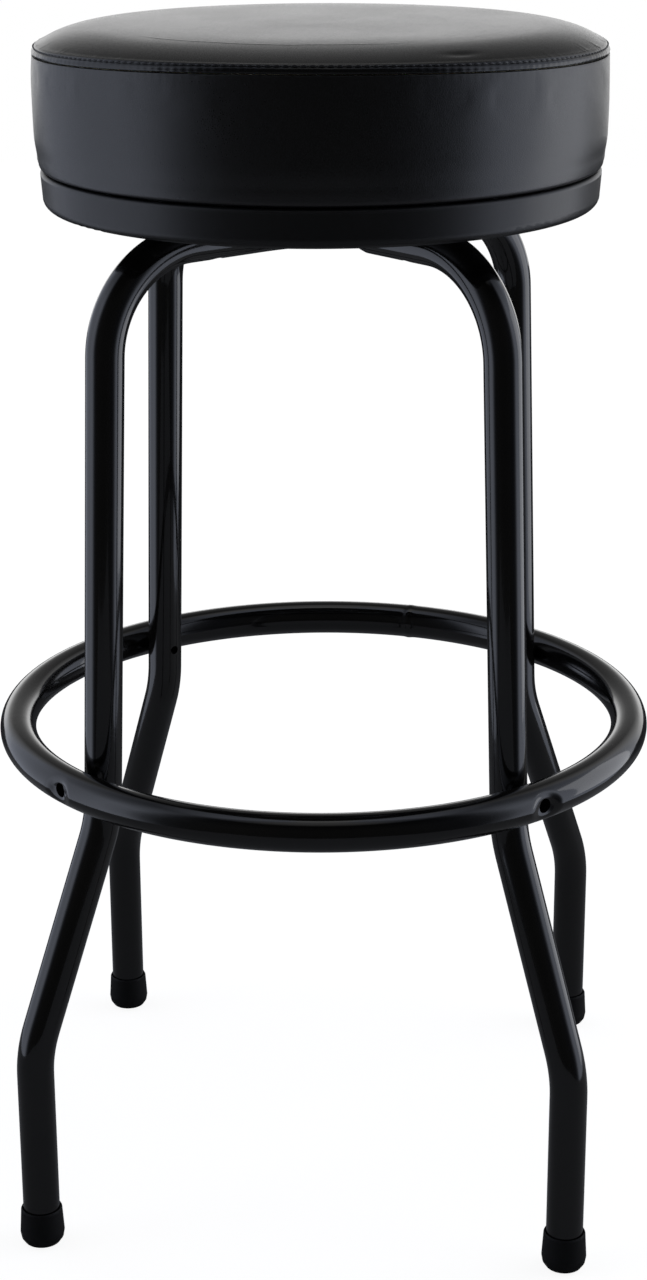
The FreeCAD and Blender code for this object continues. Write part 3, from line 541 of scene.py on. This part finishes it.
foam_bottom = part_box("foam_pad")[0].z
top_low, top_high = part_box("seat_top_cover")
band_low, band_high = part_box("seat_side_band")
crown_top = top_high.z
edge_height = top_low.z
edge_radius = top_high.x
seam_height = band_high.z
seam_radius = band_high.x
base_radius = 175 * mm
seam_drop = 2.5 * mm
seam_sway = 2.6 * mm
sway_start = 110 * mm
side_roll = (38 * mm, 10 * mm, 0.9)
front_roll = (70 * mm, 10.5 * mm, 0.8)


def crown_drop(radius, angle):
    """How far the crown lies below its top at a radius and an angle.

    A parabola out to the roll and its tangent from there, and on it the roll: with u the
    share of the roll's width, a part of a quarter ellipse, 1 - sqrt(1 - u * u). The roll
    is narrow at both sides and wide at the front and back, mixed by sin(angle)^2.
    """
    drops = []
    for width, fall, part in (side_roll, front_roll):
        roll_start = edge_radius - width
        dome = crown_top - edge_height + seam_drop - fall
        dome /= 1 + 2 * width / roll_start
        inner = (np.minimum(radius, roll_start) / roll_start) ** 2
        outer = 2 * np.clip(radius - roll_start, 0, None) / roll_start
        share = np.clip((radius - roll_start) / width, 0, 1) * part
        roll = (1 - np.sqrt(1 - share ** 2)) / (1 - math.sqrt(1 - part ** 2))
        drops.append(dome * (inner + outer) + fall * roll)
    return drops[0] + (drops[1] - drops[0]) * np.sin(angle) ** 2


def sway(angle, radius):
    """The wave of a hand-pulled cover: it lies lower at both sides and higher at the front
    and back, by cos(2 * angle) and the square of the share from the start to the edge."""
    share = np.clip((radius - sway_start) / (edge_radius - sway_start), 0, 1)
    return seam_sway * share ** 2 * np.cos(2 * angle)


def turned(profile, columns):
    """Points of a profile of (radius, height) carried round the Z axis in equal steps."""
    angle = np.arange(columns) / columns * 2 * math.pi
    radius, height = profile[:, :1], profile[:, 1:]
    return np.stack([radius * np.cos(angle), radius * np.sin(angle),
                     height + 0 * angle], axis=-1), angle


def closed_faces(rows, columns):
    """Grid quads plus a many-sided face that closes each end ring."""
    ends = [list(range(columns)), list(range((rows - 1) * columns, rows * columns))[::-1]]
    return grid_faces(rows, columns, flip=True) + ends


def cut_foam():
    """Open-celled foam: pale, mottled, full of small pits."""
    foam = Finish("cut_foam", Subsurface_Weight=0.1)
    cells = foam.node("TexVoronoi", None, {"Vector": foam.place(), "Scale": 900}, "Distance")
    mottle = foam.noise(25, 3)
    foam.colour(foam.blend(mottle, (0.72, 0.64, 0.42, 1), (0.86, 0.80, 0.60, 1)))
    foam.rough(0.92 - cells * 0.1)
    foam.relief(cells, 0.4 * mm)
    return foam.material


def foam_pad():
    """A turned block under the crown, with the slight waver of a hot-wire cut side."""
    clear = 1.6 * mm
    reach = np.linspace(0.02, 1, 24) * (edge_radius - 3.2 * mm)
    top = np.stack([reach, 0 * reach + crown_top], axis=1)
    side_height = np.linspace(edge_height - 6 * mm, foam_bottom, 18)
    share = (side_height - foam_bottom) / (edge_height - foam_bottom)
    side = base_radius - 2 * mm + share * (seam_radius - base_radius - 0.4 * mm)
    under = np.array([[5 * mm, foam_bottom]])
    profile = np.concatenate([top, np.stack([side, side_height], axis=1), under])
    points, angle = turned(profile, 180)
    waver = 0.25 * mm * (np.sin(7 * angle) + np.sin(11 * angle + 1.0)) - 0.5 * mm
    on_side = (profile[:, 0] > edge_radius - 4 * mm)[:, None]
    points[..., :2] += (on_side * waver)[..., None] * np.stack(
        [np.cos(angle), np.sin(angle)], axis=-1)
    points[:len(top), :, 2] -= clear + crown_drop(reach[:, None], angle)
    high = np.clip((points[..., 2] - foam_bottom) / (edge_height - foam_bottom), 0, 1)
    points[..., 2] -= high * sway(angle, profile[:, :1])
    piece = add_piece("foam_block", points.reshape(-1, 3), closed_faces(len(profile), 180),
                      "seat", cut_foam())
    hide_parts("foam_pad")


foam_pad()


# Cover: black coated fabric in two panels. The top panel is gathered on to the side band
# by a seam, and a second row of stitches above it holds the seam allowance flat, which
# leaves a narrow strip between them. The band is pulled down and stapled under the board.

stitches = 220
net_step = 4
columns = net_step * stitches
skin = 1.2 * mm
gather_reach = 14 * mm
calm_reach = 110 * mm
random = np.random.default_rng(7)


def vinyl(name, roughness, grain_depth, refraction):
    """Coated fabric: small leather cells with fine creases, pores and a cloudy gloss."""
    hide = Finish(name, IOR=refraction)
    drift = hide.node("TexNoise", None, {"Vector": hide.place(), "Scale": 260, "Detail": 2},
                      "Color")
    bent = hide.node("VectorMath", {"operation": "MULTIPLY_ADD"},
                     {0: drift, 1: (0.0012, 0.0012, 0.0012), 2: hide.place()}, "Vector")
    cells = hide.node("TexVoronoi", {"feature": "DISTANCE_TO_EDGE"},
                      {"Vector": bent, "Scale": 820}, "Distance")
    creases = hide.ramp(cells, (0.0, 0.0), (0.12, 0.75), (0.5, 1.0))
    pores = hide.noise(2600, 2)
    clouds = hide.noise(18, 3)
    black = (0.0026, 0.0026, 0.0027, 1)
    worn = (0.0058, 0.0056, 0.0055, 1)
    hide.colour(hide.blend(clouds, black, worn))
    hide.rough(roughness + clouds * 0.06 + (1 - creases) * 0.12)
    hide.relief(creases * 0.75 + pores * 0.25, grain_depth)
    return hide.material


top_vinyl = vinyl("top_vinyl", 0.15, 0.012 * mm, 1.54)
band_vinyl = vinyl("band_vinyl", 0.24, 0.045 * mm, 1.66)


def gathers(angle, inward, count, depth):
    """Small pleats that run in from the seam, most of them at the two sides: each a smooth
    ridge of its own place, width and length, exp(-(a / w)^2) across, fading along."""
    height = np.zeros(np.broadcast(angle, inward).shape)
    for place in random.uniform(-math.pi, math.pi, count):
        width = random.uniform(1.0, 2.4) * mm / seam_radius
        length = random.uniform(0.3, 1.0) * gather_reach
        size = random.uniform(0.35, 1.0) * depth
        side = 0.12 + 0.88 * math.cos(place) ** 2
        off = (angle - place + math.pi) % (2 * math.pi) - math.pi
        along = np.clip(1 - inward / length, 0, 1)
        height += side * size * np.exp(-(off / width) ** 2) * along ** 1.5
    return height


def top_panel():
    """The crown out to the row of stitches: gathers that rise from the seam, a small tuck
    at every stitch, a fold mark along the front shoulder and a shallow dent beside it."""
    inner = np.linspace(0.4 * mm, edge_radius - 50 * mm, 11, endpoint=False)
    middle = np.linspace(edge_radius - 50 * mm, edge_radius - 40 * mm, 14, endpoint=False)
    outer = np.linspace(edge_radius - 40 * mm, edge_radius - 1.6 * mm, 23, endpoint=False)
    rim = np.linspace(edge_radius - 1.6 * mm, edge_radius, 4)
    radius = np.concatenate([inner, middle, outer, rim])
    inward = edge_radius - radius
    sink = 0.7 * mm * np.clip(1 - inward / (1.5 * mm), 0, 1) ** 2
    profile = np.stack([radius, crown_top - sink], axis=1)
    points, angle = turned(profile, columns)
    points[..., 2] -= crown_drop(radius[:, None], angle)
    inward = inward[:, None]
    tuck = 0.5 - 0.5 * np.cos(stitches * angle)
    near = np.exp(-(inward / (2.0 * mm)) ** 2)
    rise = gathers(angle[None, :], inward, 90, 0.4 * mm) * np.clip(inward / (2 * mm), 0.25, 1)
    front = np.degrees((angle + math.pi / 2 + math.pi) % (2 * math.pi) - math.pi)
    fold_ends = np.clip((40 - np.abs(front + 11)) / 10, 0, 1)
    fold_place = (45 + 0.5 * np.sin(front / 5) + 0.3 * np.sin(front / 2.1)) * mm
    fold = 0.14 * mm * fold_ends * np.exp(-((inward - fold_place) / (0.9 * mm)) ** 2)
    dent = 0.75 * mm * (np.exp(-((inward - 13 * mm) / (3 * mm)) ** 2)
                        * np.exp(-((front - 34.5) / 3.6) ** 2))
    points[..., 2] += rise + 0.12 * mm * near * tuck + fold - dent
    points[..., 2] -= sway(angle, radius[:, None])
    return points


def edge_strip():
    """The narrow strip between the two rows: it bulges out and dips at both rows, and it
    is drawn in at each stitch."""
    share = np.linspace(0, 1, 13)
    bulge = np.sin(math.pi * share) ** 0.8
    radius = edge_radius - 0.3 * mm + share * (seam_radius - edge_radius - 0.9 * mm)
    radius += 0.9 * mm * bulge
    height = edge_height - 0.7 * mm + share * (seam_height - edge_height + 0.7 * mm)
    points, angle = turned(np.stack([radius, height], axis=1), columns)
    tuck = 0.5 - 0.5 * np.cos(stitches * angle)
    wave = random.uniform(0, 2 * math.pi, 3)
    slow = sum(np.sin(count * angle + phase) for count, phase in zip((31, 53, 87), wave)) / 3
    out = (0.16 * tuck * bulge[:, None] + 0.12 * slow * bulge[:, None]) * mm
    out += 0.14 * mm * tuck * share[:, None] ** 6
    points[..., 0] += out * np.cos(angle)
    points[..., 1] += out * np.sin(angle)
    points[..., 2] -= seam_drop + sway(angle, edge_radius)
    return points


def side_band():
    """The band: rolled in at the seam, bulging below it, drawn in towards the pan more and
    more and turned under the board. It follows the seam's sway by its share of height."""
    corner = 4.2 * mm
    bottom = band_low.z
    roll = 1.5 * mm
    arc = np.linspace(0, 1, 8)
    roll_angle = math.pi / 2 * (1 - arc)
    rolled = np.stack([seam_radius - roll + roll * np.cos(roll_angle) - 0.05 * mm,
                       seam_height - 2.1 * mm + roll * np.sin(roll_angle)], axis=1)
    share = np.linspace(0, 1, 26)[1:]
    high, low = rolled[-1, 1], bottom + corner
    wall_height = high + share * (low - high)
    drawn_in = np.clip((share - 0.7) / 0.3, 0, 1) ** 2
    wall_radius = seam_radius - (seam_radius - base_radius) * (0.25 * share + 0.75 * drawn_in)
    wall_radius += 0.85 * mm * 4 * share * (1 - share) - 0.05 * mm * (1 - share)
    corner_angle = -math.pi / 2 * arc[1:]
    turned_in = np.stack([base_radius - corner + corner * np.cos(corner_angle),
                          bottom + corner + corner * np.sin(corner_angle)], axis=1)
    flange = np.stack([np.linspace(base_radius - corner, 149 * mm, 6)[1:],
                       np.full(5, bottom)], axis=1)
    start = np.array([[seam_radius - 3.2 * mm, seam_height - 0.6 * mm],
                      [seam_radius - 2.2 * mm, seam_height - 0.5 * mm]])
    wall = np.stack([wall_radius, wall_height], axis=1)
    profile = np.concatenate([start, rolled, wall, turned_in, flange])
    points, angle = turned(profile, columns)
    below = np.clip(seam_height - profile[:, 1], 0, None)[:, None]
    tuck = 0.5 - 0.5 * np.cos(stitches * angle)
    fade = np.exp(-below / (2.2 * mm))
    pull = gathers(angle[None, :], below, 16, 0.2 * mm)
    phase = random.uniform(0, 2 * math.pi, 4)
    slow = sum(np.sin(count * angle + shift)
               for count, shift in zip((5, 9, 14, 23), phase)) / 4
    hang = np.sin(np.clip(below / (seam_height - bottom), 0, 1) * math.pi)
    out = -0.14 * mm * fade * (1 - tuck) + pull * 0.6 + 0.2 * mm * hang * slow
    out[profile[:, 1] < bottom + 0.5 * mm] = 0
    points[..., 0] += out * np.cos(angle)
    points[..., 1] += out * np.sin(angle)
    high = np.clip((profile[:, 1:] - bottom) / (seam_height - bottom), 0, 1)
    points[..., 2] -= high * (seam_drop + sway(angle, edge_radius))
    return points


def settle(points, pinned, frames=12, cap=0.6 * mm):
    """The points after cloth simulation under the foam's pressure, held at the pins.

    One column at each stitch is simulated as a net of its own, and each point then moves
    by its column's share of the net's movement, by no more than the cap, and less and less
    towards the axis, where the columns meet.
    """
    rows, wide = points.shape[:2]
    net = points[:, ::net_step]
    mesh = bpy.data.meshes.new("net")
    mesh.from_pydata(net.reshape(-1, 3).tolist(), [], grid_faces(rows, stitches, flip=True))
    holder = bpy.data.objects.new("net", mesh)
    scene.collection.objects.link(holder)
    group = holder.vertex_groups.new(name="pins")
    held = (np.nonzero(np.repeat(pinned, stitches))[0]).tolist()
    group.add(held, 1.0, "REPLACE")
    cloth = holder.modifiers.new("cloth", "CLOTH")
    cloth.settings.quality = 6
    cloth.settings.mass = 0.4
    cloth.settings.tension_stiffness = 40
    cloth.settings.compression_stiffness = 40
    cloth.settings.shear_stiffness = 20
    cloth.settings.bending_stiffness = 30
    cloth.settings.vertex_group_mass = "pins"
    cloth.settings.use_pressure = True
    cloth.settings.uniform_pressure_force = 2
    cloth.settings.shrink_min = 0.003
    cloth.settings.effector_weights.gravity = 0
    cloth.collision_settings.use_collision = False
    cloth.point_cache.frame_start = 1
    cloth.point_cache.frame_end = frames
    for step in range(1, frames + 1):
        scene.frame_set(step)
    graph = bpy.context.evaluated_depsgraph_get()
    made = holder.evaluated_get(graph).to_mesh()
    moved = np.zeros(len(made.vertices) * 3)
    made.vertices.foreach_get("co", moved)
    shift = moved.reshape(net.shape) - net
    far = np.linalg.norm(shift, axis=-1, keepdims=True)
    shift *= np.minimum(1, cap / np.maximum(far, 1e-9))
    shift *= np.clip(np.linalg.norm(net[..., :2], axis=-1, keepdims=True) / calm_reach, 0, 1)
    bpy.data.objects.remove(holder)
    scene.frame_set(1)
    share = (np.arange(wide) % net_step / net_step)[None, :, None]
    first = np.repeat(shift, net_step, axis=1)
    second = np.repeat(np.roll(shift, -1, axis=1), net_step, axis=1)
    return points + first * (1 - share) + second * share


def cover_piece(name, points, material, node):
    """A panel of the cover as a shell of the skin's thickness."""
    rows, wide = points.shape[:2]
    piece = add_piece(name, points.reshape(-1, 3), grid_faces(rows, wide, flip=True), "seat",
                      material, 80)
    thick = piece.modifiers.new("skin", "SOLIDIFY")
    thick.thickness = skin
    thick.offset = -1
    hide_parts(node)
    return piece


crown = top_panel()
strip = edge_strip()
band = side_band()
crown_pins = np.zeros(len(crown), bool)
crown_pins[-4:] = True
crown = settle(crown, crown_pins)
band_pins = np.zeros(len(band), bool)
band_pins[:6] = True
band_pins[-14:] = True
band = settle(band, band_pins)
pole = np.tile(crown[:1].mean(axis=1, keepdims=True), (1, columns, 1))
crown = np.concatenate([pole + (crown[:1] - pole) * 0.01, crown])
cover_piece("cover_top", crown, top_vinyl, "seat_top_cover")
cover_piece("cover_strip", strip, top_vinyl, "seat_edge_strip")
cover_piece("cover_band", band, band_vinyl, "seat_side_band")


# Stitches: black bonded thread in a lock stitch, one row where the top panel meets the
# strip. Each stitch lies along the row and dives into the cover at both ends.

def bonded_thread():
    """Waxed black thread: two plies that wind round it, with a soft shine."""
    thread = Finish("bonded_thread", Sheen_Weight=0.2)
    fibres = thread.noise(1, 2, 0.6, thread.stretched((2600, 2600, 5200)))
    thread.colour(thread.blend(fibres, (0.008, 0.008, 0.009, 1), (0.03, 0.03, 0.032, 1)))
    thread.rough(0.34 + fibres * 0.2)
    thread.relief(fibres, 0.06 * mm)
    return thread.material


def stitch_row(name, radius, height, length, thickness):
    """Stitches round a ring: each a thread of six sides that follows half a cosine, up
    out of the cover and down again."""
    along = np.linspace(-1, 1, 7)
    side = np.arange(6) / 6 * 2 * math.pi
    lean = random.normal(0, 0.035, stitches)
    size = 1 + random.normal(0, 0.05, stitches)
    start = (np.arange(stitches) + 0.5) / stitches * 2 * math.pi
    arch = np.cos(along * math.pi / 2)
    swell = thickness * (0.55 + 0.45 * arch)
    out = (arch * 0.75 * thickness)[:, None] + swell[:, None] * np.cos(side)
    rise = swell[:, None] * np.sin(side)
    reach = (along * length / 2 / radius)[None, :, None] * size[:, None, None]
    turn = start[:, None, None] + reach
    away = radius + 0.7 * out[None] - 0.1 * mm
    tall = height + 0.7 * out[None] + rise[None] + (along[None, :, None] * lean[:, None, None]
                                                    * length / 2)
    tall = tall - seam_drop - sway(turn, edge_radius)
    points = np.stack([away * np.cos(turn), away * np.sin(turn), tall], axis=-1)
    one = grid_faces(7, 6) + [[5, 4, 3, 2, 1, 0], [36, 37, 38, 39, 40, 41]]
    faces = [[index + 42 * stitch for index in face] for stitch in range(stitches)
             for face in one]
    add_piece(name, points.reshape(-1, 3), faces, "seat", bonded_thread(), 80)


stitch_length = 3.7 * mm
thread = 0.42 * mm
stitch_row("top_stitches", edge_radius + 0.1 * mm, edge_height - 0.35 * mm, stitch_length,
           thread)


# Studio: a pale table top, and round it a tent of white cloth that is bright low behind
# and at both sides, dark towards the front and softly lit from above.

def studio_floor():
    """A pale table top that widens and darkens behind the stool. It keeps the stool's soft
    shadow, to the camera it is lifted to the white of the background, and from below it is
    clear, so that the stool's underside can be looked at."""
    side, front, middle, wide, back = 0.78, -1.7, 0.3, 4.0, 4.5
    outline = np.array([[-side, front, 0], [side, front, 0], [side, middle, 0],
                        [-side, middle, 0], [wide, back, 0], [-wide, back, 0]])
    finish = Finish("studio_floor", Roughness=1.0, Specular_IOR_Level=0.0)
    depth = finish.node("SeparateXYZ", None, {"Vector": finish.place()}, "Y")
    far = finish.ramp(depth, (0.0, 0.0), (0.2, 0.0), (0.8, 1.0), (1.0, 1.0))
    finish.colour(finish.blend(far, (0.36, 0.357, 0.35, 1), (0.08, 0.08, 0.08, 1)))
    watched = finish.node("LightPath", output="Is Camera Ray")
    white = finish.blend(far, (0.9, 0.9, 0.9, 1), (1, 1, 1, 1))
    lift = finish.node("Emission", None, {"Color": white, "Strength": watched}, "Emission")
    base = Wire(finish, finish.shader.outputs[0])
    both = finish.node("AddShader", None, {0: base, 1: lift})
    below = finish.node("NewGeometry", output="Backfacing")
    clear = finish.node("BsdfTransparent")
    either = finish.node("MixShader", None, {0: below, 1: both, 2: clear})
    finish.feed(finish.tree.nodes["Material Output"].inputs["Surface"], either)
    faces = [[0, 1, 2, 3], [3, 2, 4, 5]]
    add_piece("floor", outline, faces, None, finish.material)


class Tent(Finish):
    """The world in the making: the nodes of its light."""

    def __init__(self, name):
        self.world = bpy.data.worlds.new(name)
        self.world.use_nodes = True
        self.tree = self.world.node_tree
        self.shader = self.tree.nodes["Background"]


def studio_world():
    """White to the camera. Round the object the light follows its direction: x, y and z
    of the unit direction give a ramp from front to back, a fade towards the top, a part
    behind that is bright low down and dark above, a glow overhead and a cooler tone at
    both sides."""
    tent = Tent("studio")
    direction = tent.node("TexCoord", output="Generated")
    x, y, z = (tent.node("SeparateXYZ", None, {"Vector": direction}, axis) for axis in "XYZ")
    level = tent.node("Math", {"operation": "MAXIMUM"}, {0: 1 - z * z, 1: 0.02}) ** 0.5
    across = tent.node("Math", {"operation": "DIVIDE"}, {0: x, 1: level})
    away = tent.node("Math", {"operation": "DIVIDE"}, {0: y, 1: level})
    backward = (away - across * 0.1) * 0.5 + 0.5
    around = tent.ramp(backward, (0.0, 0.03), (0.16, 0.045), (0.22, 0.1), (0.27, 0.35),
                       (0.33, 0.95), (0.42, 1.1), (0.55, 0.85), (0.7, 0.7), (0.85, 0.7),
                       (1.0, 0.9))
    upward = tent.ramp(z, (0.0, 1.0), (0.5, 1.0), (0.86, 0.3), (1.0, 0.3))
    behind = tent.ramp(backward, (0.0, 0.0), (0.86, 0.0), (0.96, 1.0), (1.0, 1.0))
    low_behind = tent.ramp(z, (0.0, 1.0), (0.12, 0.9), (0.17, 0.6), (0.23, 0.36),
                           (0.32, 0.18), (0.45, 0.12), (0.8, 0.12), (1.0, 0.3))
    overhead = tent.ramp(z, (0.0, 0.0), (0.86, 0.0), (0.95, 0.3), (1.0, 0.4))
    light = around * upward * (1 - behind + behind * low_behind * 1.45) + overhead
    watched = tent.node("LightPath", output="Is Camera Ray")
    sideways = tent.ramp(across * across, (0.0, 0.0), (0.25, 0.0), (0.6, 1.0), (1.0, 1.0))
    cool = tent.blend(sideways * (1 - watched), (1, 1, 1, 1), (0.78, 0.84, 1, 1))
    tent.feed(tent.shader.inputs["Color"], cool)
    tent.feed(tent.shader.inputs["Strength"], watched + (1 - watched) * light)
    scene.world = tent.world


def soft_box(name, place, aim, width, height, radiance):
    """A rectangular lamp of a radiance that faces a point, unseen by the camera."""
    lamp = bpy.data.lights.new(name, "AREA")
    lamp.shape = "RECTANGLE"
    lamp.size, lamp.size_y = width, height
    lamp.energy = radiance * math.pi * width * height
    holder = bpy.data.objects.new(name, lamp)
    holder.location = place
    holder.rotation_mode = "QUATERNION"
    holder.rotation_quaternion = (Vector(aim) - Vector(place)).to_track_quat("-Z", "Y")
    holder.visible_camera = False
    scene.collection.objects.link(holder)


studio_floor()
studio_world()
soft_box("right_box", (1.25, 0.45, 0.55), (0, 0, 0.5), 0.8, 1.2, 0.8)


# Camera: at the photograph's angle, a little right of the front and above the seat.

def place_camera():
    """A 72 mm lens 1.6 m away, turned down by its pitch and a trace of roll."""
    turn, yaw, pitch, roll = (math.radians(angle) for angle in (5.35, 0.15, -18.95, -0.26))
    stand = Matrix.Rotation(turn, 4, "Z") @ Vector((4.4 * mm, -1606.9 * mm, 912.2 * mm))
    lens = bpy.data.cameras.new("viewer")
    lens.lens = 72.1
    lens.sensor_width = 36
    lens.clip_start = 0.05
    camera = bpy.data.objects.new("viewer", lens)
    camera.matrix_world = (Matrix.Translation(stand)
                           @ Matrix.Rotation(turn + yaw, 4, "Z")
                           @ Matrix.Rotation(math.pi / 2 + pitch, 4, "X")
                           @ Matrix.Rotation(roll, 4, "Z"))
    scene.collection.objects.link(camera)
    scene.camera = camera


place_camera()
scene.view_settings.view_transform = "Standard"
